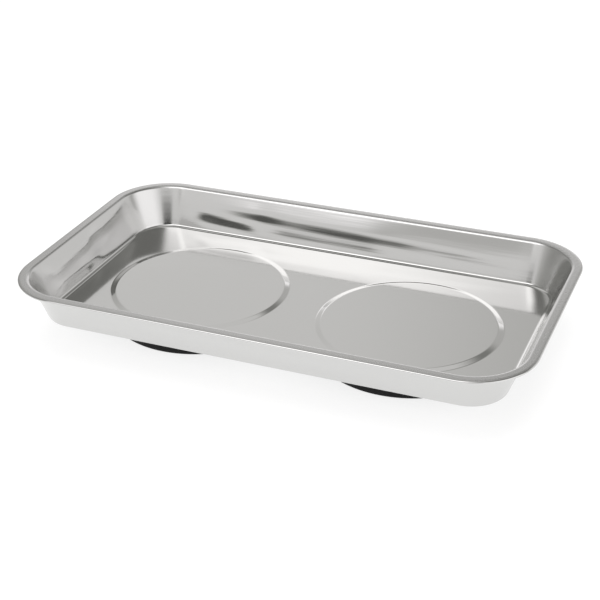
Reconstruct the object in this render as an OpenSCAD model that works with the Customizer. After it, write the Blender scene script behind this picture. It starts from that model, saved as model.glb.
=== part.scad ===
// Magnetic parts tray: a pressed stainless tray on two round pot magnets with rubber boots.
// Millimetres. X runs along the tray, Y across it and Z up.
// The origin is on the surface that the tray stands on, below the middle of the tray.

/* [Tray] */
// Length over the rim
rim_length = 240; // [225:1:300]
// Width over the rim
rim_width = 140; // [130:1:200]
// Radius of the rim's corners, seen from above
rim_corner_r = 29; // [22:1:45]
// Depth from the top of the rim to the floor
tray_depth = 19.4; // [12:0.2:32]
// Angle that the walls lean outwards from upright
wall_flare = 22; // [8:1:35]
// Thickness of the tray's sheet
sheet_t = 0.5; // [0.4:0.1:1]
// Inside radius of the bend between floor and wall
floor_bend_r = 1; // [0.6:0.1:3]
// Inside radius of the bend between wall and rim flange
rim_bend_r = 1; // [0.6:0.1:3]
// Flat width of the rim flange
flange_width = 3.3; // [2:0.1:8]
// Space inside the hem that is folded under the flange
hem_gap = 0.3; // [0.2:0.1:1]
// Distance that the hem's folded edge stays back from the flange's bend
hem_setback = 0.9; // [0.5:0.1:1.8]

/* [Plateaus] */
// Distance between the middles of the two plateaus, and of the magnets under them
magnet_spacing = 104; // [94:1:118]
// Height that each plateau is pressed up from the floor
plateau_rise = 0.7; // [0.3:0.1:1.5]
// Width of the slope round each plateau
plateau_slope_w = 3.5; // [2:0.1:6]
// Clearance round the magnet cup below the plateau
plateau_clearance = 0.1; // [0.05:0.05:1]

/* [Magnets] */
// Outside diameter of the ring magnets
magnet_d = 72; // [60:1:80]
// Bore of the ring magnets
magnet_bore_d = 32; // [26:1:44]
// Thickness of the ring magnets
magnet_t = 9; // [8:0.5:16]
// Chamfer on the magnets' edges
magnet_chamfer = 0.8; // [0.4:0.1:1.5]

/* [Magnet cups] */
// Thickness of the cups' sheet
cup_t = 1.5; // [1:0.1:2.5]
// Inside radius of the cups' bends
cup_bend_r = 1; // [0.6:0.1:1.2]
// Air gap between the magnet and the cup's wall
cup_wall_gap = 1.9; // [1.2:0.1:4]
// Clearance between the cup's middle well and the magnet's bore
well_clearance = 0.5; // [0.2:0.1:1.5]
// Height of air between the cup's rim and the plateau
cup_rim_drop = 0.5; // [0.2:0.1:2]

/* [Rubber boots] */
// Thickness of the boots' side wall
boot_wall = 3; // [1.5:0.1:5]
// Thickness of the boots' floor, which the tray stands on
boot_floor_t = 2.7; // [2:0.1:6]
// Clearance between a boot and its cup
boot_fit = 0.1; // [0.05:0.05:0.3]
// Clearance between a boot's top edge and the tray
boot_top_gap = 0.1; // [0.05:0.05:1]
// Thickness of the lip that turns up into the cup's well
boot_lip_t = 1.5; // [1:0.1:3]
// Height of the lip above the boot's floor
boot_lip_h = 3; // [2.6:0.1:4]
// Radius of the boots' outer lower edge
boot_edge_r = 1; // [0.5:0.1:2]
// Radius of the boots' other edges
boot_lip_r = 0.5; // [0.2:0.1:0.7]
// Number of grip grooves in a boot's underside
groove_count = 3; // [1:1:5]
// Width of a grip groove
groove_w = 1.6; // [0.8:0.1:3]
// Depth of a grip groove
groove_depth = 0.6; // [0.2:0.1:1.2]

/* [Fasteners] */
// Diameter of the studs' thread
thread_d = 5; // [4:0.5:6]
// Radial clearance between the thread and the nut
thread_fit = 0.05; // [0.02:0.01:0.1]
// Width of the weld flange round the stud
stud_flange_w = 0.75; // [0.4:0.05:2]
// Thickness of the stud's weld flange
stud_flange_t = 0.9; // [0.5:0.1:1.4]
// Length of thread that shows past the nut
stud_tip = 1.1; // [0.4:0.1:1.6]
// Chamfer on the stud's end
stud_chamfer = 0.6; // [0.3:0.1:1]
// Radial clearance of the stud in the cup and the washers
stud_clearance = 0.2; // [0.1:0.05:0.5]
// Width of the nut across its flats
nut_flats = 8; // [8:0.5:12]
// Height of the nut
nut_h = 4; // [2.4:0.1:5]
// Slope of the chamfer on the nut's corners
nut_chamfer = 30; // [15:1:40]
// Outside diameter of the flat washer
washer_d = 10; // [9:0.5:14]
// Thickness of the flat washer
washer_t = 1; // [0.6:0.1:1.6]
// Outside diameter of the spring washer
spring_washer_d = 9.2; // [8.4:0.1:12]
// Thickness of the spring washer
spring_washer_t = 1.2; // [0.8:0.1:1.6]
// Width of the spring washer's split
spring_split = 1; // [0.4:0.1:2]

/* [Hidden] */
$fn = 96;
bend_steps = 8;
hex_sides = 6;
// How far a cutting shape runs past the face that it opens
cut_past = 1;
// How far a plateau's sheet runs on level into the floor round it
plateau_lap = 1;

steel = [0.78, 0.78, 0.77];
zinc = [0.66, 0.67, 0.70];
ferrite = [0.17, 0.17, 0.18];
rubber = [0.09, 0.09, 0.09];

// Heights of the stack from the surface up to the plateau
cup_under = boot_floor_t;
magnet_under = cup_under + cup_t;
plateau_under = magnet_under + magnet_t;
floor_under = plateau_under - plateau_rise;
boot_top = floor_under - boot_top_gap;
cup_top = plateau_under - cup_rim_drop;

// The cup's well is as deep as its washers and nut are high
web_under = cup_under + washer_t + spring_washer_t + nut_h;
washer_under = web_under - washer_t;
spring_washer_under = washer_under - spring_washer_t;
nut_under = spring_washer_under - nut_h;
stud_end = nut_under - stud_tip;

// Radii from the magnet out to the boot, and from its bore in to the boot's lip
magnet_r = magnet_d / 2;
magnet_bore_r = magnet_bore_d / 2;
cup_r = magnet_r + cup_wall_gap + cup_t;
boot_inner_r = cup_r + boot_fit;
boot_r = boot_inner_r + boot_wall;
well_r = magnet_bore_r - well_clearance - cup_t;
lip_r = well_r - boot_fit;
boot_opening_r = lip_r - boot_lip_t;
stud_r = thread_d / 2;
stud_hole_r = stud_r + stud_clearance;

// Plateau slope: two equal bends, one over and one back
plateau_r = cup_r + plateau_clearance;
plateau_turn = 2 * atan(plateau_rise / plateau_slope_w);
plateau_bend = plateau_slope_w / (2 * sin(plateau_turn));
plateau_foot_r = plateau_r + plateau_slope_w;

// Wall section: bends and straight runs at the middle of the sheet, out to the hem
wall_turn = 90 - wall_flare;
floor_bend = floor_bend_r + sheet_t / 2;
rim_bend = rim_bend_r + sheet_t / 2;
hem_bend = hem_gap / 2 + sheet_t / 2;
wall_run = (tray_depth - (floor_bend + rim_bend) * (1 - cos(wall_turn))) / sin(wall_turn);
wall_reach = (floor_bend + rim_bend) * sin(wall_turn) + wall_run * cos(wall_turn)
    + flange_width + hem_bend + sheet_t / 2;
floor_corner_r = rim_corner_r - wall_reach;
corner_x = rim_length / 2 - rim_corner_r;
corner_y = rim_width / 2 - rim_corner_r;

function along(heading) = [cos(heading), sin(heading)];
function across(heading) = [-sin(heading), cos(heading)];

// Stations on the middle of a bent sheet, each a point and a heading.
// A run is its straight length, the turn that follows it and that turn's radius.
function sheet_stations(runs, at, heading = 0, i = 0) =
    i == len(runs) ? [] :
    let (
        straight = runs[i][0],
        turn = runs[i][1],
        offset_r = sign(turn) * runs[i][2],
        bend_start = at + straight * along(heading),
        centre = bend_start + offset_r * across(heading),
        bend = turn == 0 ? [] : [
            for (k = [1 : bend_steps])
                let (h = heading + turn * k / bend_steps)
                [centre - offset_r * across(h), h]
        ],
        run = concat(straight > 0 ? [[bend_start, heading]] : [], bend)
    )
    concat(run, sheet_stations(runs, run[len(run) - 1][0], heading + turn, i + 1));

// Section of a bent sheet that starts level at a point
module sheet_section(start, runs, thickness) {
    stations = concat([[start, 0]], sheet_stations(runs, start));
    last = len(stations) - 1;
    upper = [for (s = stations) s[0] + across(s[1]) * thickness / 2];
    lower = [for (i = [last : -1 : 0]) stations[i][0] - across(stations[i][1]) * thickness / 2];
    polygon(concat(upper, lower));
}

// Section with square corners, each given as [x, y, rounding radius]
module rounded_section(corners) {
    count = len(corners);
    spots = [for (c = corners) [c[0], c[1]]];
    polygon([
        for (i = [0 : count - 1])
            let (
                back = spots[(i + count - 1) % count] - spots[i],
                ahead = spots[(i + 1) % count] - spots[i],
                a = back / norm(back),
                b = ahead / norm(ahead),
                r = corners[i][2],
                centre = spots[i] + r * (a + b)
            )
            each r == 0 ? [spots[i]] : [
                for (k = [0 : bend_steps])
                    let (u = 90 * k / bend_steps)
                    centre - r * (b * cos(u) + a * sin(u))
            ]
    ]);
}

// Flat ring that stands on z = 0
module ring(outer_r, inner_r, height) {
    difference() {
        cylinder(r = outer_r, h = height);
        translate([0, 0, -cut_past]) cylinder(r = inner_r, h = height + 2 * cut_past);
    }
}

module at_magnet(side) {
    translate([side * magnet_spacing / 2, 0, 0]) children();
}

// Floor, wall, flange and hem from a rim corner's axis outwards
module wall_section() {
    sheet_section(
        [0, floor_under + sheet_t / 2],
        [
            [floor_corner_r, wall_turn, floor_bend],
            [wall_run, -wall_turn, rim_bend],
            [flange_width, -180, hem_bend],
            [flange_width - hem_setback, 0, 0]
        ],
        sheet_t
    );
}

// Dish without plateaus: a flat middle, four straight sides and four corners
module dish() {
    translate([-corner_x, -corner_y, floor_under]) cube([2 * corner_x, 2 * corner_y, sheet_t]);
    for (quarter = [0 : 3]) {
        out = quarter % 2 == 0 ? corner_x : corner_y;
        half_side = quarter % 2 == 0 ? corner_y : corner_x;
        rotate(90 * quarter) translate([out, half_side, 0]) {
            rotate([90, 0, 0]) linear_extrude(2 * half_side) wall_section();
            rotate_extrude(angle = 90) wall_section();
        }
    }
}

module plateau() {
    rotate_extrude() sheet_section(
        [0, plateau_under + sheet_t / 2],
        [
            [plateau_r, -plateau_turn, plateau_bend],
            [0, plateau_turn, plateau_bend],
            [plateau_lap, 0, 0]
        ],
        sheet_t
    );
}

module tray_pan() {
    color(steel) {
        difference() {
            dish();
            for (side = [-1, 1])
                at_magnet(side) translate([0, 0, floor_under - cut_past])
                    cylinder(r = plateau_foot_r + plateau_lap / 2, h = sheet_t + 2 * cut_past);
        }
        for (side = [-1, 1]) at_magnet(side) plateau();
    }
}

// Boot: floor, outer wall and inner lip, moulded round the cup's bends
module rubber_boot() {
    seat_r = cup_bend_r + cup_t;
    lip_top = boot_floor_t + boot_lip_h;
    groove_pitch = (boot_r - boot_opening_r) / (groove_count + 1);
    color(rubber) rotate_extrude() difference() {
        rounded_section([
            [boot_opening_r, 0, boot_lip_r],
            [boot_r, 0, boot_edge_r],
            [boot_r, boot_top, boot_lip_r],
            [boot_inner_r, boot_top, boot_lip_r],
            [boot_inner_r, boot_floor_t, seat_r],
            [lip_r, boot_floor_t, seat_r],
            [lip_r, lip_top, boot_lip_r],
            [boot_opening_r, lip_top, boot_lip_r]
        ]);
        for (i = [1 : groove_count])
            translate([boot_opening_r + i * groove_pitch - groove_w / 2, -cut_past])
                square([groove_w, groove_depth + cut_past]);
    }
}

// Cup: web round the stud, well, floor under the magnet and outer wall
module magnet_cup() {
    bend = cup_bend_r + cup_t / 2;
    well_wall_r = well_r + cup_t / 2;
    outer_wall_r = cup_r - cup_t / 2;
    color(zinc) rotate_extrude() sheet_section(
        [stud_hole_r, web_under + cup_t / 2],
        [
            [well_wall_r - bend - stud_hole_r, -90, bend],
            [web_under - cup_under - 2 * bend, 90, bend],
            [outer_wall_r - well_wall_r - 2 * bend, 90, bend],
            [cup_top - cup_under - cup_t / 2 - bend, 0, 0]
        ],
        cup_t
    );
}

module ring_magnet() {
    c = magnet_chamfer;
    color(ferrite) translate([0, 0, magnet_under]) rotate_extrude() polygon([
        [magnet_bore_r + c, 0],
        [magnet_r - c, 0],
        [magnet_r, c],
        [magnet_r, magnet_t - c],
        [magnet_r - c, magnet_t],
        [magnet_bore_r + c, magnet_t],
        [magnet_bore_r, magnet_t - c],
        [magnet_bore_r, c]
    ]);
}

// Stud: thread with a weld flange against the plateau
module weld_stud() {
    flange_under = plateau_under - stud_flange_t;
    color(zinc) rotate_extrude() polygon([
        [0, stud_end],
        [stud_r - stud_chamfer, stud_end],
        [stud_r, stud_end + stud_chamfer],
        [stud_r, flange_under],
        [stud_r + stud_flange_w, flange_under],
        [stud_r + stud_flange_w, plateau_under],
        [0, plateau_under]
    ]);
}

module flat_washer() {
    color(zinc) translate([0, 0, washer_under]) ring(washer_d / 2, stud_hole_r, washer_t);
}

module spring_washer() {
    color(zinc) translate([0, 0, spring_washer_under]) difference() {
        ring(spring_washer_d / 2, stud_hole_r, spring_washer_t);
        translate([0, -spring_split / 2, -cut_past])
            cube([spring_washer_d, spring_split, spring_washer_t + 2 * cut_past]);
    }
}

// Nut with chamfered corners on both faces
module hex_nut() {
    face_r = nut_flats / 2;
    corner_r = face_r / cos(180 / hex_sides);
    slope_h = (corner_r - face_r) * tan(nut_chamfer);
    color(zinc) translate([0, 0, nut_under]) difference() {
        intersection() {
            cylinder(r = corner_r, h = nut_h, $fn = hex_sides);
            rotate_extrude() polygon([
                [0, 0],
                [face_r, 0],
                [corner_r, slope_h],
                [corner_r, nut_h - slope_h],
                [face_r, nut_h],
                [0, nut_h]
            ]);
        }
        translate([0, 0, -cut_past]) cylinder(r = stud_r + thread_fit, h = nut_h + 2 * cut_past);
    }
}

tray_pan();
at_magnet(-1) rubber_boot();  // left_rubber_boot
at_magnet(1) rubber_boot();  // right_rubber_boot
at_magnet(-1) magnet_cup();  // left_magnet_cup
at_magnet(1) magnet_cup();  // right_magnet_cup
at_magnet(-1) ring_magnet();  // left_ring_magnet
at_magnet(1) ring_magnet();  // right_ring_magnet
at_magnet(-1) weld_stud();  // left_weld_stud
at_magnet(1) weld_stud();  // right_weld_stud
at_magnet(-1) flat_washer();  // left_flat_washer
at_magnet(1) flat_washer();  // right_flat_washer
at_magnet(-1) spring_washer();  // left_spring_washer
at_magnet(1) spring_washer();  // right_spring_washer
at_magnet(-1) hex_nut();  // left_hex_nut
at_magnet(1) hex_nut();  // right_hex_nut
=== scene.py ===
"""Magnetic parts tray: a bright pressed steel tray on two pot magnets in rubber boots.

Metres, in the frame of the packed solids: X along the tray, Y across it, Z up.
"""

import math

import bmesh
import bpy
from bpy.props import FloatProperty, FloatVectorProperty, IntProperty, PointerProperty
from mathutils import Matrix, Vector, noise


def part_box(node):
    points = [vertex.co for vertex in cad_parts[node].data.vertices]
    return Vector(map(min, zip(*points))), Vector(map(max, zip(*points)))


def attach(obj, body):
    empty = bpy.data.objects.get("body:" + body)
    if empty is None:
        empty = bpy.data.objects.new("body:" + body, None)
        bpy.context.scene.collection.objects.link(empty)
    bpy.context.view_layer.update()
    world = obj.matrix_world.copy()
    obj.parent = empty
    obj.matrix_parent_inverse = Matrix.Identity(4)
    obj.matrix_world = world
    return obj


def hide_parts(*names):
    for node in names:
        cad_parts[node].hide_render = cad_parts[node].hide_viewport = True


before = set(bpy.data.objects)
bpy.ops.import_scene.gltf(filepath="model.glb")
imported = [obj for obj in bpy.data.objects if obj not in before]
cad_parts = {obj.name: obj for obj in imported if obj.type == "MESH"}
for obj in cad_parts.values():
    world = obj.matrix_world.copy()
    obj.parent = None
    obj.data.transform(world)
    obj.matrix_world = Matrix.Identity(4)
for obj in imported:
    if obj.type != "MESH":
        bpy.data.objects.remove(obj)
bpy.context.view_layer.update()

bl_info = {
    "name": "Magnetic parts tray",
    "version": (1, 0, 0),
    "blender": (4, 5, 0),
    "location": "View3D > Sidebar > Parts Tray",
    "description": "Dresses the packed solids of a magnetic parts tray",
    "category": "Add Mesh",
}

SIDES = {"left": -1, "right": 1}
UP = Vector((0, 0, 1))
QUARTER_TURN = math.pi / 2
WELD_DISTANCE = 2e-6

# Corners and heights of the packed solids that the pieces are built to
PAN_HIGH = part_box("tray_pan")[1]
BOOT_LOW, BOOT_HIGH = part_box("right_rubber_boot")
CUP_LOW, CUP_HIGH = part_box("right_magnet_cup")
STUD_LOW, STUD_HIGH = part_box("right_weld_stud")
WASHER_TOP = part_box("right_flat_washer")[1][2]
MAGNET_X = (BOOT_LOW[0] + BOOT_HIGH[0]) / 2


def smooth_step(value):
    """A soft step from 0 to 1 as value goes from 0 to 1."""
    value = min(1, max(0, value))
    return value * value * (3 - 2 * value)


def half_width(low, high):
    """Half of a box's size along X."""
    return (high[0] - low[0]) / 2


def shade(rgb, factor):
    """A colour made lighter or darker."""
    return tuple(min(1, c * factor) for c in rgb)


def length(name, description, default):
    """A property that holds a length in metres."""
    return FloatProperty(name=name, description=description, default=default, min=0,
                         precision=5, unit="LENGTH", subtype="DISTANCE")


def angle(name, description, degrees):
    """A property that holds an angle."""
    return FloatProperty(name=name, description=description, default=math.radians(degrees),
                         unit="ROTATION", subtype="ANGLE")


def amount(name, description, default):
    """A property that holds a plain factor."""
    return FloatProperty(name=name, description=description, default=default, precision=3)


def colour(name, description, default):
    """A property that holds a linear colour."""
    return FloatVectorProperty(name=name, description=description, default=default, size=3,
                               min=0, max=1, subtype="COLOR")


class TraySizes(bpy.types.PropertyGroup):
    """Sizes of the pressed tray."""

    rim_corner_r: length("Rim corner", "Radius of the rim's corners, seen from above", 0.029)
    depth: length("Depth", "Depth from the top of the rim to the floor", 0.0194)
    flare: angle("Flare", "Angle that the walls lean outwards from upright", 22)
    wall_bow: angle("Wall bow", "How much more the walls lean at the top than at the bottom", 5)
    sheet: length("Sheet", "Thickness of the tray's sheet", 0.0005)
    floor_bend_r: length("Floor bend", "Inside radius of the lower half of the bend up to the wall", 0.0032)
    foot_bend_r: length("Foot bend", "Inside radius of the upper half of that bend", 0.001)
    rim_bend_r: length("Rim bend", "Outside radius of the bend between wall and flange", 0.0018)
    flange_w: length("Flange", "Level width of the rim flange", 0.0021)
    crown_w: length("Flange crown", "Width of the flange's soft outer edge", 0.0011)
    crown_turn: angle("Crown turn", "How far the soft outer edge turns down", 14)
    hem_gap: length("Hem gap", "Space inside the hem that is folded under the flange", 0.0003)
    hem_return: length("Hem return", "Width of sheet folded back under the flange", 0.0024)
    plateau_rise: length("Plateau rise", "Height of a plateau above the floor", 0.0007)
    plateau_slope_w: length("Plateau slope", "Width of the slope round a plateau", 0.0035)
    plateau_turn: angle("Plateau turn", "Steepest slope round a plateau", 15)
    plateau_clearance: length("Plateau clearance", "Clearance round the cup below a plateau", 0.0001)
    wall_wave: length("Wall wave", "Height of the press's slow waves in the walls", 0.00005)
    wave_length: length("Wave length", "Length of those waves along the walls", 0.05)
    crease_depth: length("Crease depth", "Step that a soft crease makes along a straight wall", 0.0005)
    crease_width: amount("Crease width", "Width of a crease as a share of the wall's height", 0.36)


class FootSizes(bpy.types.PropertyGroup):
    """Sizes of the boots, the cups and what fastens them."""

    boot_wall: length("Boot wall", "Thickness of a boot's side wall", 0.003)
    boot_floor: length("Boot floor", "Thickness of a boot's floor", 0.0027)
    boot_lip: length("Boot lip", "Thickness of the lip round the nut's opening", 0.0015)
    boot_lip_h: length("Lip height", "Height of that lip above the boot's floor", 0.003)
    boot_edge_r: length("Boot edge", "Radius of a boot's outer lower edge", 0.001)
    boot_soft_r: length("Soft edge", "Radius of a boot's other edges", 0.0005)
    boot_fit: length("Boot fit", "Clearance between a boot and its cup", 0.0001)
    groove_count: IntProperty(name="Grooves", description="Grip grooves in a boot's underside",
                              default=3, min=1, max=5)
    groove_w: length("Groove width", "Width of a grip groove", 0.0016)
    groove_depth: length("Groove depth", "Depth of a grip groove", 0.0006)
    groove_r: length("Groove edge", "Radius of a grip groove's edges", 0.00015)
    magnet_bore_r: length("Magnet bore", "Radius of the hole in a ring magnet", 0.016)
    well_clearance: length("Well clearance", "Clearance between a cup's well and its magnet", 0.0005)
    cup_sheet: length("Cup sheet", "Thickness of a cup's sheet", 0.0015)
    cup_bend_r: length("Cup bend", "Inside radius of a cup's bends", 0.001)
    thread_r: length("Thread", "Outside radius of a stud's thread", 0.0025)
    thread_pitch: length("Pitch", "Pitch of a stud's thread", 0.0008)
    thread_depth: length("Thread depth", "Depth of a stud's thread", 0.00045)
    stud_flange_t: length("Stud flange", "Thickness of a stud's weld flange", 0.0009)
    stud_chamfer: length("Stud chamfer", "Width of the chamfer on a stud's end", 0.0006)
    stud_clearance: length("Stud clearance", "Clearance of a stud in its cup", 0.0002)
    edge_break: length("Edge break", "Radius on the edges of nuts, washers and stud flanges", 0.00012)


class TrayColours(bpy.types.PropertyGroup):
    """Colours of the finishes."""

    steel: colour("Stainless steel", "Bright rolled sheet", (0.66, 0.66, 0.652))
    rubber: colour("Black rubber", "Moulded boots", (0.0045, 0.0045, 0.0045))
    zinc: colour("Zinc plate", "Cups, studs, nuts and washers", (0.60, 0.61, 0.63))
    ferrite: colour("Ferrite", "Ring magnets", (0.06, 0.06, 0.065))
    floor: colour("Floor", "Pale surface that the tray stands on", (0.9, 0.9, 0.9))


class SteelFinish(bpy.types.PropertyGroup):
    """Polish of the pressed sheet."""

    polish: amount("Polish", "Roughness of the brightest sheet", 0.05)
    line_dulling: amount("Line dulling", "Roughness that the rolling lines add", 0.03)
    cloud_dulling: amount("Cloud dulling", "Roughness that wide clouds add", 0.03)
    corner_dulling: amount("Corner dulling", "Roughness that stretching adds at the corners", 0.14)
    flange_dulling: amount("Flange dulling", "Roughness that stretching adds along the flange", 0.08)
    grain_dulling: amount("Grain dulling", "Roughness that the flange's grain adds", 0.2)
    flange_shade: amount("Flange shade", "Share of the sheet's colour that the shaded flange has", 0.76)
    flange_tint: amount("Flange tint", "How much of that shade the whole flange takes", 0.6)
    grain_tint: amount("Grain tint", "How much more of it the flange's grain takes", 0.8)
    line_depth: length("Line depth", "Depth of the rolling lines", 3e-7)
    streak_depth: length("Streak depth", "Depth of the drawn streaks in the walls", 1.8e-5)
    grain_depth: length("Grain depth", "Depth of the flange's grain", 1.8e-6)


class StudioLight(bpy.types.PropertyGroup):
    """How bright each part of the studio is, where 1 is white."""

    ceiling: amount("Ceiling", "Dim ceiling", 0.26)
    overhead: amount("Overhead", "Paler patch of the ceiling straight above the tray", 0.7)
    horizon: amount("Horizon", "Pale foot of the walls all round", 1.0)
    softbox: amount("Softbox", "Large soft lamp above the front of the tray", 2.06)
    softbox_fall: amount("Softbox fall", "Share of its brightness that the lamp has at its right end", 0.68)
    front_wall: amount("Front wall", "Pale wall in front", 0.84)
    front_glow: amount("Front glow", "Wall in front just below the softbox", 1.5)
    front_shade: amount("Front shade", "Half-dim patch beside that glow", 0.58)
    front_shelf: amount("Front shelf", "Dark shelf low down in front", 0.1)
    stand: amount("Stand", "Dark stand in front to the right", 0.03)
    right_side: amount("Right side", "Half-dim wall in front to the right", 0.8)
    right_window: amount("Right window", "Bright window to the right", 1.3)
    right_wall: amount("Right wall", "Wall behind to the right", 0.78)
    back_wall: amount("Back wall", "Wall behind", 0.56)
    back_glow: amount("Back glow", "Brighter part of the wall behind", 0.75)
    back_floor: amount("Back floor", "Pale floor behind", 1.3)
    left_screen: amount("Left screen", "Dim screen to the left", 0.34)
    fill: FloatProperty(name="Fill", description="Power of the soft fill lamp overhead", default=8,
                        unit="POWER")


class Socket:
    """A shader socket that Python's operators work on."""

    def __init__(self, sheet, link):
        self.sheet = sheet
        self.link = link

    def __add__(self, other):
        return self.sheet.math("ADD", self, other)

    def __radd__(self, other):
        return self.sheet.math("ADD", other, self)

    def __sub__(self, other):
        return self.sheet.math("SUBTRACT", self, other)

    def __rsub__(self, other):
        return self.sheet.math("SUBTRACT", other, self)

    def __mul__(self, other):
        return self.sheet.math("MULTIPLY", self, other)

    def __rmul__(self, other):
        return self.sheet.math("MULTIPLY", other, self)

    def output(self, name):
        """Another output of the same node."""
        return Socket(self.sheet, self.link.node.outputs[name])


class NodeSheet:
    """The emptied node tree of a material or of the world."""

    def __init__(self, owner):
        owner.use_nodes = True
        self.tree = owner.node_tree
        self.tree.nodes.clear()

    def add(self, kind, settings=None, sockets=None, output=0):
        """Adds a node, with its settings first, and gives one of its outputs."""
        node = self.tree.nodes.new(kind)
        for name, value in (settings or {}).items():
            setattr(node, name, value)
        for name, value in (sockets or {}).items():
            if isinstance(value, Socket):
                self.tree.links.new(value.link, node.inputs[name])
            else:
                node.inputs[name].default_value = value
        return Socket(self, node.outputs[output]) if node.outputs else node

    def math(self, operation, first, second=0.0):
        """A math node. An operation on one value makes no use of the second."""
        return self.add("ShaderNodeMath", {"operation": operation}, {0: first, 1: second})

    def ease(self, value, none, full):
        """A soft step that is 0 up to one value and 1 from the other, which may be the lower."""
        return self.add("ShaderNodeMapRange", {"interpolation_type": "SMOOTHSTEP"}, {
            "Value": value, "From Min": none, "From Max": full,
        }, "Result")

    def zone(self, value, line, edge):
        """A soft step whose two ends are counted from a line."""
        return self.ease(value, line + edge[0], line + edge[1])

    def band(self, value, low, high, soft):
        """1 between two angles in degrees, with a soft edge at each."""
        low, high, soft = (math.radians(v) for v in (low, high, soft))
        return self.ease(value, low - soft, low + soft) * self.ease(value, high + soft, high - soft)

    def place(self, scale=(1, 1, 1)):
        """Object coordinates, scaled along each axis."""
        here = self.add("ShaderNodeTexCoord", output="Object")
        return self.add("ShaderNodeMapping", None, {"Vector": here, "Scale": scale})

    def noise(self, vector, scale=1.0, detail=2.0, roughness=0.5):
        """Smooth noise from 0 to 1."""
        return self.add("ShaderNodeTexNoise", None, {
            "Vector": vector, "Scale": scale, "Detail": detail, "Roughness": roughness,
        }, "Fac")

    def tint(self, low, high, factor):
        """A colour between two, by a factor."""
        return self.add("ShaderNodeMix", {"data_type": "RGBA"}, {
            0: factor, 6: (*low, 1), 7: (*high, 1),
        }, 2)

    def mottle(self, rgb, factor, dark, light):
        """A colour between a darker and a lighter shade of one colour, by a factor."""
        return self.tint(shade(rgb, dark), shade(rgb, light), factor)

    def bump(self, height, depth, after=None):
        """A normal from a height between 0 and 1 that stands for a depth in metres."""
        sockets = {"Height": height, "Distance": depth, "Strength": 1.0}
        if after:
            sockets["Normal"] = after
        return self.add("ShaderNodeBump", None, sockets)

    def surface(self, **sockets):
        """Ends a material in one principled shader."""
        named = {name.replace("_", " "): value for name, value in sockets.items()}
        shader = self.add("ShaderNodeBsdfPrincipled", None, named)
        self.add("ShaderNodeOutputMaterial", None, {"Surface": shader})


# Where the pressed sheet's zones fade in or out, from the line that each follows
FLANGE_EDGE = (-0.0008, -0.0004)
HEM_EDGE = (-0.0003, -0.0006)
WALL_FOOT = (0.0008, 0.002)
CORNER_ALONG = (-0.007, 0.009)
CORNER_ACROSS = (-0.009, 0.003)
# Cells of noise in a metre along X, Y and Z
ROLLING_LINES = (14, 1100, 0)
DRAWN_STREAKS = (18, 18, 520)


def stainless_steel(colours, finish, shape):
    """Bright rolled sheet: lines along X, drawn streaks round the walls, a grainier stretched flange."""
    material = bpy.data.materials.new("bright_stainless_steel")
    sheet = NodeSheet(material)
    spot = sheet.add("ShaderNodeSeparateXYZ", None, {"Vector": sheet.place()}, "X")
    height = spot.output("Z")
    along = sheet.math("ABSOLUTE", spot)
    across = sheet.math("ABSOLUTE", spot.output("Y"))
    out_x = sheet.math("MAXIMUM", along - shape.corner_x, 0.0)
    out_y = sheet.math("MAXIMUM", across - shape.corner_y, 0.0)
    outwards = sheet.math("SQRT", out_x * out_x + out_y * out_y)
    rim = sheet.zone(height, PAN_HIGH[2], FLANGE_EDGE)
    flange = rim * sheet.zone(outwards, shape.sizes.rim_corner_r, HEM_EDGE)
    wall = sheet.zone(height, shape.floor_z, WALL_FOOT) * (1 - rim)
    corners = (wall * sheet.zone(along, shape.corner_x, CORNER_ALONG)
               * sheet.zone(across, shape.corner_y, CORNER_ACROSS))
    lines = sheet.noise(sheet.place(ROLLING_LINES), detail=3)
    streaks = sheet.noise(sheet.place(DRAWN_STREAKS), detail=3)
    clouds = sheet.noise(sheet.place(), scale=60.0)
    grain = sheet.noise(sheet.place(), scale=2600.0, detail=3, roughness=0.65)
    bump = sheet.bump(lines, finish.line_depth)
    bump = sheet.bump(streaks * wall, finish.streak_depth, bump)
    bump = sheet.bump(grain * flange, finish.grain_depth, bump)
    shaded = flange * (finish.flange_tint + finish.grain_tint * grain)
    dulled = flange * (finish.flange_dulling + finish.grain_dulling * grain)
    sheet.surface(
        Base_Color=sheet.tint(colours.steel, shade(colours.steel, finish.flange_shade), shaded),
        Metallic=1.0,
        Roughness=(finish.polish + finish.line_dulling * lines + finish.cloud_dulling * clouds
                   + finish.corner_dulling * corners + dulled),
        Normal=bump,
    )
    return material


def black_rubber(colours):
    """Satin moulded rubber with a fine pebble and a dusty bloom."""
    material = bpy.data.materials.new("satin_black_rubber")
    sheet = NodeSheet(material)
    pebble = sheet.noise(sheet.place(), scale=2600.0)
    bloom = sheet.noise(sheet.place(), scale=90.0, detail=4, roughness=0.6)
    sheet.surface(
        Base_Color=sheet.mottle(colours.rubber, bloom, dark=0.8, light=1.5),
        Roughness=0.5 + 0.2 * bloom,
        Specular_IOR_Level=0.25,
        Normal=sheet.bump(pebble, depth=1.2e-5),
    )
    return material


def zinc_plate(colours):
    """Bright zinc plate over drawn steel, slightly mottled."""
    material = bpy.data.materials.new("zinc_plated_steel")
    sheet = NodeSheet(material)
    mottle = sheet.noise(sheet.place(), scale=420.0, detail=4, roughness=0.6)
    fine = sheet.noise(sheet.place(), scale=3200.0)
    sheet.surface(
        Base_Color=sheet.mottle(colours.zinc, mottle, dark=0.82, light=1.08),
        Metallic=1.0,
        Roughness=0.2 + 0.22 * mottle,
        Normal=sheet.bump(fine, depth=2e-6),
    )
    return material


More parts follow.
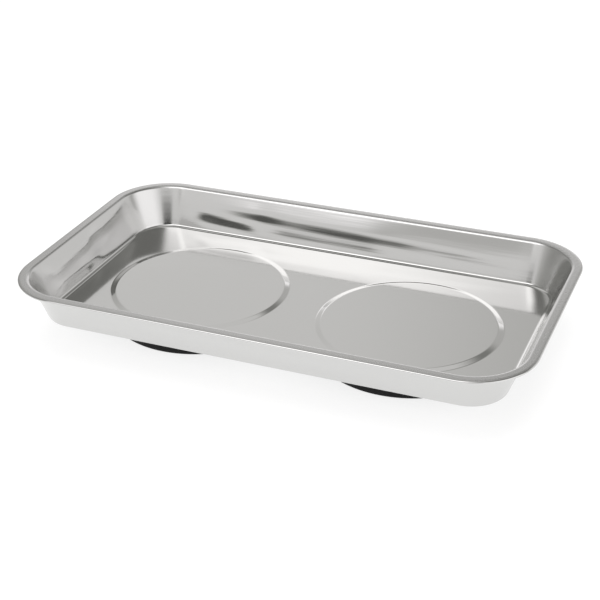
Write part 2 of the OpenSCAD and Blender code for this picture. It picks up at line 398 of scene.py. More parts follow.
def sintered_ferrite(colours):
    """Matt dark ferrite with pale specks and pores."""
    material = bpy.data.materials.new("sintered_ferrite")
    sheet = NodeSheet(material)
    speck = sheet.noise(sheet.place(), scale=1800.0, detail=5, roughness=0.7)
    sheet.surface(
        Base_Color=sheet.mottle(colours.ferrite, speck, dark=0.6, light=1.6),
        Roughness=0.6 + 0.3 * speck,
        Normal=sheet.bump(speck, depth=1.5e-5),
    )
    return material


class SectionPen:
    """Draws a section in the XZ plane as straight runs and bends, the way a strip is formed."""

    def __init__(self, bm, x, z, heading=0.0):
        self.bm = bm
        self.tip = bm.verts.new((x, 0, z))
        self.heading = heading

    def run(self, distance, steps=1):
        """A straight run, cut into equal steps."""
        forward = Vector((math.cos(self.heading), 0, math.sin(self.heading)))
        for _ in range(steps):
            made = bmesh.ops.extrude_vert_indiv(self.bm, verts=[self.tip])
            self.tip = made["verts"][0]
            bmesh.ops.translate(self.bm, verts=[self.tip], vec=forward * distance / steps)

    def bend(self, turn, radius, steps):
        """A round bend, to the left where the turn is positive."""
        left = Vector((-math.sin(self.heading), 0, math.cos(self.heading)))
        centre = self.tip.co + left * math.copysign(radius, turn)
        made = bmesh.ops.spin(self.bm, geom=[self.tip], cent=centre, axis=(0, -1, 0),
                              angle=turn, steps=steps, use_duplicate=False)
        self.tip = [v for v in made["geom_last"] if isinstance(v, bmesh.types.BMVert)][0]
        self.heading += turn

    def flat(self, distance, guard):
        """A straight run with a short guard step at each end, which keeps its shading level."""
        self.run(guard)
        self.run(distance - 2 * guard)
        self.run(guard)


def weld(bm):
    """Joins points that lie on each other."""
    bmesh.ops.remove_doubles(bm, verts=bm.verts, dist=WELD_DISTANCE)


def spin_round(bm, x, steps):
    """Spins everything drawn so far once round the upright axis at x."""
    bmesh.ops.spin(bm, geom=bm.verts[:] + bm.edges[:], cent=(x, 0, 0), axis=UP,
                   angle=math.tau, steps=steps, use_merge=True, use_duplicate=False)
    weld(bm)


def open_edges(bm, z):
    """The edges at one height that have a face on one side only."""
    return [e for e in bm.edges if e.is_boundary
            and all(abs(v.co.z - z) < WELD_DISTANCE for v in e.verts)]


def face_up(bm, x):
    """Turns an open skin so that the face nearest to the upright axis at x faces up."""
    bmesh.ops.recalc_face_normals(bm, faces=bm.faces)
    middle = min(bm.faces, key=lambda f: (f.calc_center_median().xy - Vector((x, 0))).length)
    if middle.normal.z < 0:
        bmesh.ops.reverse_faces(bm, faces=bm.faces)


def round_edges(bm, edges, radius):
    """Breaks edges with a small round."""
    bmesh.ops.bevel(bm, geom=edges, offset=radius, offset_type="OFFSET", segments=2, profile=0.5,
                    affect="EDGES", material=-1, clamp_overlap=True)


def mark_sharp(bm, degrees):
    """Smooth faces, with edges that turn further than some degrees kept crisp."""
    for face in bm.faces:
        face.smooth = True
    for edge in bm.edges:
        edge.smooth = edge.calc_face_angle(0) < math.radians(degrees)


def finish_piece(bm, name, material, node):
    """Makes a piece from a bmesh, and lets it ride for a node of the frame."""
    mesh = bpy.data.meshes.new(name)
    bm.to_mesh(mesh)
    bm.free()
    mesh.materials.append(material)
    piece = bpy.data.objects.new(name, mesh)
    bpy.context.scene.collection.objects.link(piece)
    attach(piece, "root")
    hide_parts(node)
    return piece


def keep_flats_level(piece):
    """Lets the large faces of a piece decide its shading."""
    modifier = piece.modifiers.new("level flats", "WEIGHTED_NORMAL")
    modifier.keep_sharp = True


class PanShape:
    """The pressed sheet's visible skin, worked out from the tray's sizes."""

    GUARD = 0.0003
    FLOOR_MARGIN = 6 * GUARD
    BEND_STEPS = 10
    CROWN_STEPS = 4
    CORNER_STEPS = 28
    WALL_STEPS = 26
    SIDE_STEP = 0.0025
    PLATEAU_STEPS = 160
    # Waves are shorter up a wall than along it, and stay off faces that are nearer to level than this
    WAVE_SQUASH = 5
    WALL_NORMAL_Z = 0.7
    # How quickly a crease rises from its ends, how much it weakens along a side, and how far and over
    # what length its strength wanders
    CREASE_TAPER = 2.2
    CREASE_DRIFT = 0.45
    CREASE_MOTTLE = 0.3
    CREASE_PATCH = 0.025
    # Each crease: its middle and its half length as shares of half a side, its rise as a share of the
    # wall's height, how much it sinks over half a side, and its strength
    LONG_CREASES = (
        (0.0, 1.05, 0.5, 0.14, 0.72),
        (-0.72, 0.22, 0.29, 0.4, 0.54),
        (-0.12, 0.42, 0.24, 0.12, 0.34),
    )
    SHORT_CREASES = (
        (-0.35, 0.55, 0.16, 0.0, 0.7),
        (0.6, 0.32, 0.38, 0.0, 0.6),
    )

    def __init__(self, sizes):
        self.sizes = sizes
        self.corner_x = PAN_HIGH[0] - sizes.rim_corner_r
        self.corner_y = PAN_HIGH[1] - sizes.rim_corner_r
        self.floor_z = PAN_HIGH[2] - sizes.depth
        self.low_turn = QUARTER_TURN - sizes.flare + sizes.wall_bow / 2
        self.high_turn = self.low_turn - sizes.wall_bow
        self.hem_r = sizes.hem_gap / 2 + sizes.sheet
        self.crown_r = sizes.crown_w / math.sin(sizes.crown_turn)
        half = self.low_turn / 2
        self.foot_h = (sizes.floor_bend_r * (1 - math.cos(half))
                       + sizes.foot_bend_r * (math.cos(half) - math.cos(self.low_turn)))
        rise = sizes.depth - self.foot_h - sizes.rim_bend_r * (1 - math.cos(self.high_turn))
        self.wall_r = rise / (math.cos(self.high_turn) - math.cos(self.low_turn))
        reach = (sizes.floor_bend_r * math.sin(half)
                 + sizes.foot_bend_r * (math.sin(self.low_turn) - math.sin(half))
                 + self.wall_r * (math.sin(self.low_turn) - math.sin(self.high_turn))
                 + sizes.rim_bend_r * math.sin(self.high_turn)
                 + sizes.flange_w + sizes.crown_w
                 + self.hem_r * (1 - math.sin(sizes.crown_turn)))
        self.floor_corner_r = sizes.rim_corner_r - reach

    def draw_section(self, bm):
        """Floor, wall, flange and hem on the middle plane across the tray."""
        sizes = self.sizes
        pen = SectionPen(bm, self.corner_x + self.floor_corner_r - self.FLOOR_MARGIN, self.floor_z)
        pen.run(self.FLOOR_MARGIN - self.GUARD)
        pen.run(self.GUARD)
        pen.bend(self.low_turn / 2, sizes.floor_bend_r, self.BEND_STEPS)
        pen.bend(self.low_turn / 2, sizes.foot_bend_r, self.BEND_STEPS)
        pen.bend(-sizes.wall_bow, self.wall_r, self.WALL_STEPS)
        pen.bend(-self.high_turn, sizes.rim_bend_r, self.BEND_STEPS)
        pen.flat(sizes.flange_w, self.GUARD)
        pen.bend(-sizes.crown_turn, self.crown_r, self.CROWN_STEPS)
        pen.bend(sizes.crown_turn - math.pi, self.hem_r, self.BEND_STEPS)
        pen.run(sizes.hem_return)

    def sweep_side(self, bm, edges, way, distance):
        """Pulls section edges straight along, in steps, and gives the last ones."""
        steps = max(1, round(distance / self.SIDE_STEP))
        for _ in range(steps):
            made = bmesh.ops.extrude_edge_only(bm, edges=edges)["geom"]
            verts = [g for g in made if isinstance(g, bmesh.types.BMVert)]
            edges = [g for g in made if isinstance(g, bmesh.types.BMEdge)
                     and all(v in verts for v in g.verts)]
            bmesh.ops.translate(bm, verts=verts, vec=Vector(way) * distance / steps)
        return edges

    def sweep_quarter(self, bm):
        """Half of a short side, one corner and half of a long side."""
        edges = self.sweep_side(bm, bm.edges[:], (0, 1, 0), self.corner_y)
        verts = list(dict.fromkeys(v for e in edges for v in e.verts))
        made = bmesh.ops.spin(bm, geom=verts + edges, cent=(self.corner_x, self.corner_y, 0), axis=UP,
                              angle=QUARTER_TURN, steps=self.CORNER_STEPS, use_duplicate=False)
        edges = [g for g in made["geom_last"] if isinstance(g, bmesh.types.BMEdge)]
        self.sweep_side(bm, edges, (-1, 0, 0), self.corner_x)

    def mirror_all(self, bm):
        """Mirrors the quarter into the whole dish."""
        for axis in ("X", "Y"):
            bmesh.ops.mirror(bm, geom=bm.verts[:] + bm.edges[:] + bm.faces[:], axis=axis,
                             merge_dist=WELD_DISTANCE)
        weld(bm)

    def add_plateau(self, bm, x):
        """A round plateau with an S-shaped slope, its flat top filled."""
        sizes = self.sizes
        top_r = half_width(CUP_LOW, CUP_HIGH) + sizes.plateau_clearance
        top_z = self.floor_z + sizes.plateau_rise
        margin = 2 * self.GUARD
        turn = sizes.plateau_turn
        bend_r = (sizes.plateau_slope_w * math.sin(turn) - sizes.plateau_rise * math.cos(turn)) / (
            2 * (1 - math.cos(turn)))
        straight = (sizes.plateau_slope_w - 2 * bend_r * math.sin(turn)) / math.cos(turn)
        plateau = bmesh.new()
        pen = SectionPen(plateau, x + top_r - margin, top_z)
        pen.run(margin)
        pen.bend(-turn, bend_r, self.BEND_STEPS)
        pen.run(straight)
        pen.bend(turn, bend_r, self.BEND_STEPS)
        pen.run(margin)
        spin_round(plateau, x, self.PLATEAU_STEPS)
        bmesh.ops.edgeloop_fill(plateau, edges=open_edges(plateau, top_z))
        joined = bpy.data.meshes.new("plateau")
        plateau.to_mesh(joined)
        plateau.free()
        bm.from_mesh(joined)
        bpy.data.meshes.remove(joined)

    def fill_floor(self, bm):
        """Fills the level floor between the walls and the plateaus."""
        bmesh.ops.triangle_fill(bm, use_beauty=True, edges=open_edges(bm, self.floor_z), normal=UP)
        weld(bm)

    def crease(self, spot, rise):
        """How far the creases push a straight wall in at a spot, where 1 is a whole crease."""
        if abs(spot.x) < self.corner_x:
            along, creases = spot.x / self.corner_x, self.LONG_CREASES
        else:
            along, creases = spot.y / self.corner_y, self.SHORT_CREASES
        push = 0
        for middle, half_length, height, sink, strength in creases:
            fade = smooth_step(self.CREASE_TAPER * (1 - abs(along - middle) / half_length))
            wander = noise.noise(Vector((spot.x, spot.y, height)) / self.CREASE_PATCH)
            patch = 1 - self.CREASE_DRIFT * along + self.CREASE_MOTTLE * wander
            step = smooth_step((rise - height + sink * (along - middle)) / self.sizes.crease_width + 0.5)
            push += fade * strength * patch * (step - rise)
        return push

    def wave_walls(self, bm):
        """Lets the drawn walls wander a little, as pressed sheet does."""
        sizes = self.sizes
        low = self.floor_z + self.foot_h
        high = PAN_HIGH[2] - sizes.rim_bend_r
        bm.normal_update()
        for vert in bm.verts:
            rise = (vert.co.z - low) / (high - low)
            if 0 < rise < 1 and abs(vert.normal.z) < self.WALL_NORMAL_Z:
                spot = Vector((vert.co.x, vert.co.y, vert.co.z * self.WAVE_SQUASH)) / sizes.wave_length
                wave = sizes.wall_wave * math.sin(math.pi * rise) * noise.noise(spot)
                vert.co += vert.normal * (wave + sizes.crease_depth * self.crease(vert.co, rise))


class TRAY_OT_pan(bpy.types.Operator):
    """Press the tray: floor, plateaus, leaning walls and a hemmed rim"""

    bl_idname = "parts_tray.pan"
    bl_label = "Tray pan"

    def execute(self, context):
        scene = context.scene
        shape = PanShape(scene.tray_sizes)
        bm = bmesh.new()
        shape.draw_section(bm)
        shape.sweep_quarter(bm)
        shape.mirror_all(bm)
        for side in SIDES.values():
            shape.add_plateau(bm, side * MAGNET_X)
        shape.fill_floor(bm)
        face_up(bm, 0)
        shape.wave_walls(bm)
        bmesh.ops.solidify(bm, geom=bm.faces[:], thickness=scene.tray_sizes.sheet)
        mark_sharp(bm, degrees=50)
        material = stainless_steel(scene.tray_colours, scene.steel_finish, shape)
        finish_piece(bm, "pressed_tray", material, "tray_pan")
        return {"FINISHED"}


class TRAY_OT_boots(bpy.types.Operator):
    """Mould the two rubber boots with their grip grooves"""

    bl_idname = "parts_tray.boots"
    bl_label = "Rubber boots"

    ROUND_STEPS = 144
    BEND_STEPS = 8
    SOFT_STEPS = 6
    GROOVE_STEPS = 4

    def execute(self, context):
        material = black_rubber(context.scene.tray_colours)
        for name, side in SIDES.items():
            bm = bmesh.new()
            self.draw_section(bm, context.scene.foot_sizes, side * MAGNET_X)
            spin_round(bm, side * MAGNET_X, self.ROUND_STEPS)
            bmesh.ops.recalc_face_normals(bm, faces=bm.faces)
            mark_sharp(bm, degrees=60)
            piece = finish_piece(bm, f"{name}_boot", material, f"{name}_rubber_boot")
            keep_flats_level(piece)
        return {"FINISHED"}

    def draw_section(self, bm, sizes, x):
        """The boot's section, from the underside at the opening outwards and back."""
        soft = sizes.boot_soft_r
        edge = sizes.boot_edge_r
        seat_r = sizes.cup_bend_r + sizes.cup_sheet
        outer_r = half_width(BOOT_LOW, BOOT_HIGH)
        well_r = sizes.magnet_bore_r - sizes.well_clearance - sizes.cup_sheet
        lip_r = well_r - sizes.boot_fit
        opening_r = lip_r - sizes.boot_lip
        inner_r = outer_r - sizes.boot_wall
        top = BOOT_HIGH[2]
        lip_top = sizes.boot_floor + sizes.boot_lip_h
        pen = SectionPen(bm, x + opening_r + soft, 0)
        start = pen.tip
        self.draw_grooves(pen, sizes, outer_r - opening_r, soft, edge)
        pen.bend(QUARTER_TURN, edge, self.BEND_STEPS)
        pen.run(top - edge - soft, steps=6)
        pen.bend(QUARTER_TURN, soft, self.SOFT_STEPS)
        pen.run(sizes.boot_wall - 2 * soft)
        pen.bend(QUARTER_TURN, soft, self.SOFT_STEPS)
        pen.run(top - sizes.boot_floor - soft - seat_r, steps=4)
        pen.bend(-QUARTER_TURN, seat_r, self.BEND_STEPS)
        pen.run(inner_r - lip_r - 2 * seat_r, steps=4)
        pen.bend(-QUARTER_TURN, seat_r, self.BEND_STEPS)
        pen.run(lip_top - sizes.boot_floor - seat_r - soft)
        pen.bend(QUARTER_TURN, soft, self.SOFT_STEPS)
        pen.run(sizes.boot_lip - 2 * soft)
        pen.bend(QUARTER_TURN, soft, self.SOFT_STEPS)
        pen.run(lip_top - 2 * soft, steps=3)
        pen.bend(QUARTER_TURN, soft, self.SOFT_STEPS)
        bmesh.ops.pointmerge(bm, verts=[pen.tip, start], merge_co=start.co)

    def draw_grooves(self, pen, sizes, width, soft, edge):
        """The underside, with evenly spaced round-edged grooves."""
        lip = sizes.groove_r
        pitch = width / (sizes.groove_count + 1)
        here = soft
        for i in range(sizes.groove_count):
            mouth = (i + 1) * pitch - sizes.groove_w / 2 - lip
            pen.run(mouth - here, steps=2)
            pen.bend(QUARTER_TURN, lip, self.GROOVE_STEPS)
            pen.run(sizes.groove_depth - 2 * lip)
            pen.bend(-QUARTER_TURN, lip, self.GROOVE_STEPS)
            pen.run(sizes.groove_w - 2 * lip)
            pen.bend(-QUARTER_TURN, lip, self.GROOVE_STEPS)
            pen.run(sizes.groove_depth - 2 * lip)
            pen.bend(QUARTER_TURN, lip, self.GROOVE_STEPS)
            here = mouth + sizes.groove_w + 2 * lip
        pen.run(width - edge - here, steps=2)


class TRAY_OT_cups(bpy.types.Operator):
    """Draw the two steel cups that hold the magnets"""

    bl_idname = "parts_tray.cups"
    bl_label = "Magnet cups"

    ROUND_STEPS = 128
    BEND_STEPS = 8

    def execute(self, context):
        sizes = context.scene.foot_sizes
        material = zinc_plate(context.scene.tray_colours)
        for name, side in SIDES.items():
            bm = bmesh.new()
            self.draw_section(bm, sizes, side * MAGNET_X)
            spin_round(bm, side * MAGNET_X, self.ROUND_STEPS)
            face_up(bm, side * MAGNET_X)
            bmesh.ops.solidify(bm, geom=bm.faces[:], thickness=sizes.cup_sheet)
            mark_sharp(bm, degrees=50)
            piece = finish_piece(bm, f"{name}_cup", material, f"{name}_magnet_cup")
            keep_flats_level(piece)
        return {"FINISHED"}

    def draw_section(self, bm, sizes, x):
        """The skin of the cup that faces the magnet, from the stud's hole out to the rim."""
        inner = sizes.cup_bend_r
        outer = inner + sizes.cup_sheet
        hole_r = sizes.thread_r + sizes.stud_clearance
        well_r = sizes.magnet_bore_r - sizes.well_clearance
        web_top = WASHER_TOP + sizes.cup_sheet
        floor_top = CUP_LOW[2] + sizes.cup_sheet
        outer_r = half_width(CUP_LOW, CUP_HIGH) - sizes.cup_sheet
        pen = SectionPen(bm, x + hole_r, web_top)
        pen.run(well_r - outer - hole_r, steps=3)
        pen.bend(-QUARTER_TURN, outer, self.BEND_STEPS)
        pen.run(web_top - floor_top - outer - inner, steps=2)
        pen.bend(QUARTER_TURN, inner, self.BEND_STEPS)
        pen.run(outer_r - well_r - 2 * inner, steps=4)
        pen.bend(QUARTER_TURN, inner, self.BEND_STEPS)
        pen.run(CUP_HIGH[2] - floor_top - inner, steps=3)


class TRAY_OT_magnets(bpy.types.Operator):
    """Give the two ring magnets their ferrite finish"""

    bl_idname = "parts_tray.magnets"
    bl_label = "Ring magnets"

    def execute(self, context):
        material = sintered_ferrite(context.scene.tray_colours)
        for name in SIDES:
            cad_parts[f"{name}_ring_magnet"].material_slots[0].material = material
        return {"FINISHED"}


class TRAY_OT_fasteners(bpy.types.Operator):
    """Break the edges of the nuts and washers, and cut the studs' threads"""

    bl_idname = "parts_tray.fasteners"
    bl_label = "Studs, nuts and washers"

    TURN_STEPS = 32
    FLANGE_STEPS = 64
    SPARE_TURNS = 2
    # Faces that turn by less than the first are one flat, and edges that turn by more than the second
    # are corners
    FLAT_ANGLE = math.radians(1)
    CORNER_ANGLE = math.radians(25)

    def execute(self, context):
        sizes = context.scene.foot_sizes
        material = zinc_plate(context.scene.tray_colours)
        for name, side in SIDES.items():
            for kind in ("flat_washer", "spring_washer", "hex_nut"):
                node = f"{name}_{kind}"
                bm = self.soft_copy(node, sizes.edge_break)
                piece = finish_piece(bm, f"{node}_soft", material, node)
                keep_flats_level(piece)
            bm = self.threaded_stud(sizes, side * MAGNET_X)
            finish_piece(bm, f"{name}_stud", material, f"{name}_weld_stud")
        return {"FINISHED"}

    def corners(self, bm):
        """The edges where two faces meet at a corner."""
        return [e for e in bm.edges if e.calc_face_angle(0) > self.CORNER_ANGLE]

    def soft_copy(self, node, radius):
        """A merged copy of a node's mesh with its sharp edges rounded."""
        bm = bmesh.new()
        bm.from_mesh(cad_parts[node].data)
        weld(bm)
        bmesh.ops.dissolve_limit(bm, angle_limit=self.FLAT_ANGLE, verts=bm.verts, edges=bm.edges)
        round_edges(bm, self.corners(bm), radius)
        mark_sharp(bm, degrees=50)
        return bm

    def threaded_stud(self, sizes, x):
        """A stud with a rolled thread, a chamfered end and a round weld flange."""
        end = STUD_LOW[2]
        flange_z = STUD_HIGH[2] - sizes.stud_flange_t
        bm = bmesh.new()
        self.wind_thread(bm, sizes, end, flange_z)
        self.chamfer_end(bm, sizes, end)
        self.add_flange(bm, sizes, flange_z)
        bmesh.ops.translate(bm, verts=bm.verts, vec=(x, 0, 0))
        mark_sharp(bm, degrees=40)
        return bm

    def wind_thread(self, bm, sizes, low, high):
        """A rolled thread round the upright axis, cut level at both ends."""
        pitch = sizes.thread_pitch
        turns = math.ceil((high - low) / pitch) + self.SPARE_TURNS
        slope = math.atan2(pitch / 2, sizes.thread_depth)
        side_length = math.hypot(pitch / 2, sizes.thread_depth)
        pen = SectionPen(bm, sizes.thread_r - sizes.thread_depth, low - pitch, slope)
        pen.run(side_length)
        pen.heading = math.pi - slope
        pen.run(side_length)
        bmesh.ops.spin(bm, geom=bm.verts[:] + bm.edges[:], axis=UP, dvec=UP * pitch / self.TURN_STEPS,
                       angle=math.tau * turns, steps=self.TURN_STEPS * turns, use_duplicate=False)
        weld(bm)
        for level, way in ((low, -1), (high, 1)):
            bmesh.ops.bisect_plane(bm, geom=bm.verts[:] + bm.edges[:] + bm.faces[:],
                                   plane_co=UP * level, plane_no=UP * way, clear_outer=True)
        weld(bm)

    def chamfer_end(self, bm, sizes, end):
        """Draws the thread's first turn in to a cone."""
        for vert in bm.verts:
            limit = sizes.thread_r - sizes.stud_chamfer + vert.co.z - end
            vert.co.xy *= min(1, limit / vert.co.xy.length)

    def add_flange(self, bm, sizes, flange_z):
        """The weld flange that lies against the plateau, in one skin with the thread."""
        radius = half_width(STUD_LOW, STUD_HIGH)
        root = open_edges(bm, flange_z)
        made = bmesh.ops.create_circle(bm, segments=self.FLANGE_STEPS, radius=radius,
                                       matrix=Matrix.Translation(UP * flange_z))
        rim = list(dict.fromkeys(e for v in made["verts"] for e in v.link_edges))
        bmesh.ops.triangle_fill(bm, use_beauty=True, edges=root + rim, normal=-UP)
        made = bmesh.ops.extrude_edge_only(bm, edges=rim)["geom"]
        top = [g for g in made if isinstance(g, bmesh.types.BMVert)]
        bmesh.ops.translate(bm, verts=top, vec=UP * sizes.stud_flange_t)
        bmesh.ops.holes_fill(bm, edges=bm.edges, sides=0)
        bmesh.ops.recalc_face_normals(bm, faces=bm.faces)
        rims = [e for e in self.corners(bm)
                if all(v.co.xy.length > radius - WELD_DISTANCE for v in e.verts)]
        round_edges(bm, rims, sizes.edge_break)


class TRAY_OT_stage(bpy.types.Operator):
    """Lay the pale floor and set the studio's light and the camera"""

    bl_idname = "parts_tray.stage"
    bl_label = "Stage"

    FLOOR_R = 12
    FLOOR_STEPS = 96
    FLOOR_DROP = 0.0002
    FLOOR_FLECK = 0.005
    # Seen by the camera or in metal, the floor is a glow over dim paint, which keeps the shadow
    FLOOR_LIFT = 0.8
    FLOOR_VEIL = 0.3
    FILL_SIZE = 1.2
    FILL_HEIGHT = 1.2

    # Cards round the room, each laid over those before it: its brightness, the side that its turn is
    # counted from, its turn and its height from edge to edge, and how soft its edges are, in degrees
    CARD_FOOT = -20
    CARDS = (
        ("back_wall", "back", (-150, 60), (CARD_FOOT, 37), 4),
        ("back_glow", "back", (-70, -14), (CARD_FOOT, 66), 8),
        ("back_glow", "back", (-30, 6), (46, 66), 3),
        ("back_floor", "back", (-31.5, 2), (CARD_FOOT, 24), 1.5),
        ("right_wall", "back", (13, 60), (CARD_FOOT, 36), 5),
        ("front_wall", "front", (-42, 50), (CARD_FOOT, 34), 6),
        ("left_screen", "front", (-135, -55), (CARD_FOOT, 34), 14),
        ("right_side", "front", (5, 48), (24, 46), 5),
        ("right_window", "front", (45, 108), (CARD_FOOT, 40), 12),
        ("front_glow", "front", (-24.5, -18), (24, 36), 2),
        ("front_shade", "front", (-18, -10), (19.5, 26), 2),
        ("front_shelf", "front", (-31, -16), (CARD_FOOT, 12), 2),
        ("front_shelf", "front", (-18, 4), (CARD_FOOT, 10.8), 1.5),
        ("stand", "front", (8, 35), (CARD_FOOT, 21), 3),
    )
    # Belts all round the room: the height where each starts and where it is full, in degrees
    BELTS = (
        ("horizon", 5.5, 1.5),
        ("overhead", 73, 80),
    )
    # The softbox on a level one unit above the tray: where each soft edge starts and where it is full
    LAMP_NEAR = (0.1, 0.2)
    LAMP_FAR = (1.6, 1.3)
    LAMP_LEFT = (-0.6, -0.2)
    LAMP_LEFT_SKEW = 0.48
    LAMP_RIGHT = (0.35, 0.15)
    FALL_RIGHT = (-0.34, -0.16)
    FALL_NEAR = (0.56, 0.4)
    # The least rise that a direction is given, so that level ones end somewhere on that level
    LEAST_RISE = 0.05
    # The room's tint where it is dark and where it is bright
    DIM_TINT = (1, 1, 0.94)
    BRIGHT_TINT = (1, 0.985, 0.99)

    # The camera that was fitted to the photo, round a point above the middle of the tray
    VIEW_AZIMUTH = math.radians(22.208)
    VIEW_ELEVATION = math.radians(27.909)
    VIEW_ROLL = math.radians(-0.539)
    VIEW_DISTANCE = 0.6144
    VIEW_RIGHT = -0.00073
    VIEW_UP = -0.01422
    AIM_Z = 0.03175
    LENS_MM = 80.678
    SENSOR_MM = 36
    CLIP_START = 0.01

    def execute(self, context):
        scene = context.scene
        self.lay_floor(scene, scene.tray_colours)
        self.light_world(scene, scene.studio_light)
        self.hang_fill(scene, scene.studio_light)
        self.place_camera(scene)
        scene.view_settings.view_transform = "Standard"
        return {"FINISHED"}

    def lay_floor(self, scene, colours):
        """A wide round floor just below the boots."""
        bm = bmesh.new()
        bmesh.ops.create_circle(bm, cap_ends=True, segments=self.FLOOR_STEPS, radius=self.FLOOR_R,
                                matrix=Matrix.Translation(-UP * self.FLOOR_DROP))
        mesh = bpy.data.meshes.new("pale_floor")
        bm.to_mesh(mesh)
        bm.free()
        mesh.materials.append(self.floor_paint(colours.floor))
        floor = bpy.data.objects.new("pale_floor", mesh)
        scene.collection.objects.link(floor)

    def floor_paint(self, rgb):
        """Pale paint that looks white where nothing shades it."""
        material = bpy.data.materials.new("pale_floor")
        sheet = NodeSheet(material)
        fleck = sheet.noise(sheet.place(), scale=40.0)
        flecked = sheet.mottle(rgb, fleck, dark=1 - self.FLOOR_FLECK, light=1 + self.FLOOR_FLECK)
        paint = sheet.add("ShaderNodeBsdfDiffuse", None, {"Color": flecked})
        white = sheet.add("ShaderNodeEmission", None, {"Strength": self.FLOOR_LIFT})
        veil = sheet.add("ShaderNodeBsdfDiffuse", None, {"Color": (*shade(rgb, self.FLOOR_VEIL), 1)})
        bright = sheet.add("ShaderNodeAddShader", None, {0: veil, 1: white})
        seen = sheet.add("ShaderNodeLightPath", output="Is Camera Ray")
        shown = seen + seen.output("Is Glossy Ray") + seen.output("Is Transmission Ray")
        surface = sheet.add("ShaderNodeMixShader", None, {0: shown, 1: paint, 2: bright})
        sheet.add("ShaderNodeOutputMaterial", None, {"Surface": surface})
        return material

    def light_world(self, scene, light):
        """A pale room with dim and bright cards, and a large softbox above the camera."""
        scene.world = bpy.data.worlds.new("studio")
        sheet = NodeSheet(scene.world)
        direction = sheet.add("ShaderNodeTexCoord", output="Generated")
        x = sheet.add("ShaderNodeSeparateXYZ", None, {"Vector": direction}, "X")
        forward = -1 * x.output("Y")
        room = self.hang_cards(sheet, light, x, forward)
        room = self.hang_softbox(sheet, light, x, forward, room)
        sky = sheet.add("ShaderNodeBackground", None, {
            "Color": sheet.tint(self.DIM_TINT, self.BRIGHT_TINT, room), "Strength": room,
        })
        sheet.add("ShaderNodeOutputWorld", None, {"Surface": sky})

    def hang_cards(self, sheet, light, x, forward):
        """How bright the room is in each direction without its softbox."""
        elevation = sheet.math("ARCSINE", x.output("Z"))
        turns = {
            "front": sheet.math("ARCTAN2", x, forward),
            "back": sheet.math("ARCTAN2", x, x.output("Y")),
        }
        room = light.ceiling
        for name, side, turn, height, soft in self.CARDS:
            card = sheet.band(turns[side], *turn, soft) * sheet.band(elevation, *height, soft)
            room = room + card * (getattr(light, name) - room)
        for name, none, full in self.BELTS:
            belt = sheet.ease(elevation, math.radians(none), math.radians(full))
            room = room + belt * (getattr(light, name) - room)
        return room

    def hang_softbox(self, sheet, light, x, forward, room):
        """Lays the softbox over the room."""
        height = sheet.math("MAXIMUM", x.output("Z"), self.LEAST_RISE)
        across = sheet.math("DIVIDE", x, height)
        ahead = sheet.math("DIVIDE", forward, height)
        panel = (sheet.ease(ahead, *self.LAMP_NEAR) * sheet.ease(ahead, *self.LAMP_FAR)
                 * sheet.ease(across + self.LAMP_LEFT_SKEW * ahead, *self.LAMP_LEFT)
                 * sheet.ease(across, *self.LAMP_RIGHT))
        fall = sheet.ease(across, *self.FALL_RIGHT) * sheet.ease(ahead, *self.FALL_NEAR)
        lamp = light.softbox * (1 - (1 - light.softbox_fall) * fall)
        return room + panel * (lamp - room)

    def hang_fill(self, scene, light):
        """A wide soft lamp overhead for what isn't metal, which shows in no reflection."""
        lamp = bpy.data.lights.new("fill", "AREA")
        lamp.shape = "DISK"
        lamp.size = self.FILL_SIZE
        lamp.energy = light.fill
        holder = bpy.data.objects.new("fill", lamp)
        holder.location = UP * self.FILL_HEIGHT
        holder.visible_glossy = False
        scene.collection.objects.link(holder)

    def place_camera(self, scene):
        """Sets the camera where the photo was taken from."""
        sideways = Vector((math.cos(self.VIEW_AZIMUTH), math.sin(self.VIEW_AZIMUTH), 0))
        nearer = sideways.cross(UP)
        back = nearer * math.cos(self.VIEW_ELEVATION) + UP * math.sin(self.VIEW_ELEVATION)
        right = Matrix.Rotation(self.VIEW_ROLL, 3, back) @ sideways
        up = back.cross(right)
        spot = UP * self.AIM_Z + right * self.VIEW_RIGHT + up * self.VIEW_UP + back * self.VIEW_DISTANCE
        camera = bpy.data.cameras.new("photo_view")
        camera.lens = self.LENS_MM
        camera.sensor_width = self.SENSOR_MM
        camera.clip_start = self.CLIP_START
        holder = bpy.data.objects.new("photo_view", camera)
        holder.matrix_world = Matrix.Translation(spot) @ Matrix((right, up, back)).transposed().to_4x4()
        scene.collection.objects.link(holder)
        scene.camera = holder


class TRAY_PT_panel(bpy.types.Panel):
    """Lists the sizes, the finishes, the light and the operators that build each piece"""

    bl_idname = "TRAY_PT_panel"
    bl_label = "Parts tray"
    bl_space_type = "VIEW_3D"
    bl_region_type = "UI"
    bl_category = "Parts Tray"

    def draw(self, context):
        layout = self.layout
        for group, holder in GROUPS.items():
            box = layout.box()
            box.label(text=group.__doc__)
            for name in group.__annotations__:
                box.prop(getattr(context.scene, holder), name)
        for operator in OPERATORS:
            layout.operator(operator.bl_idname)


GROUPS = {
    TraySizes: "tray_sizes",
    FootSizes: "foot_sizes",
    TrayColours: "tray_colours",
    SteelFinish: "steel_finish",
    StudioLight: "studio_light",
}
OPERATORS = (
    TRAY_OT_pan,
    TRAY_OT_boots,
    TRAY_OT_cups,
    TRAY_OT_magnets,
    TRAY_OT_fasteners,
    TRAY_OT_stage,
)


def register():
    """Registers the classes, and gives the scene its groups of values."""
    for group, name in GROUPS.items():
        bpy.utils.register_class(group)
        setattr(bpy.types.Scene, name, PointerProperty(type=group))
    for operator in OPERATORS:
        bpy.utils.register_class(operator)
    bpy.utils.register_class(TRAY_PT_panel)


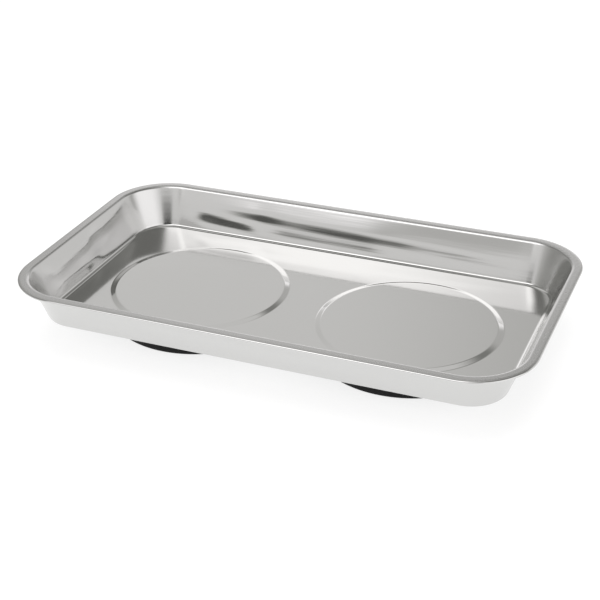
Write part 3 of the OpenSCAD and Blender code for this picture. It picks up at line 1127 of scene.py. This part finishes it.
def unregister():
    """Takes back what register did."""
    bpy.utils.unregister_class(TRAY_PT_panel)
    for operator in reversed(OPERATORS):
        bpy.utils.unregister_class(operator)
    for group, name in GROUPS.items():
        delattr(bpy.types.Scene, name)
        bpy.utils.unregister_class(group)


def main():
    """Builds every piece and the stage."""
    register()
    bpy.ops.parts_tray.pan()
    bpy.ops.parts_tray.boots()
    bpy.ops.parts_tray.cups()
    bpy.ops.parts_tray.magnets()
    bpy.ops.parts_tray.fasteners()
    bpy.ops.parts_tray.stage()


if __name__ == "__main__":
    main()
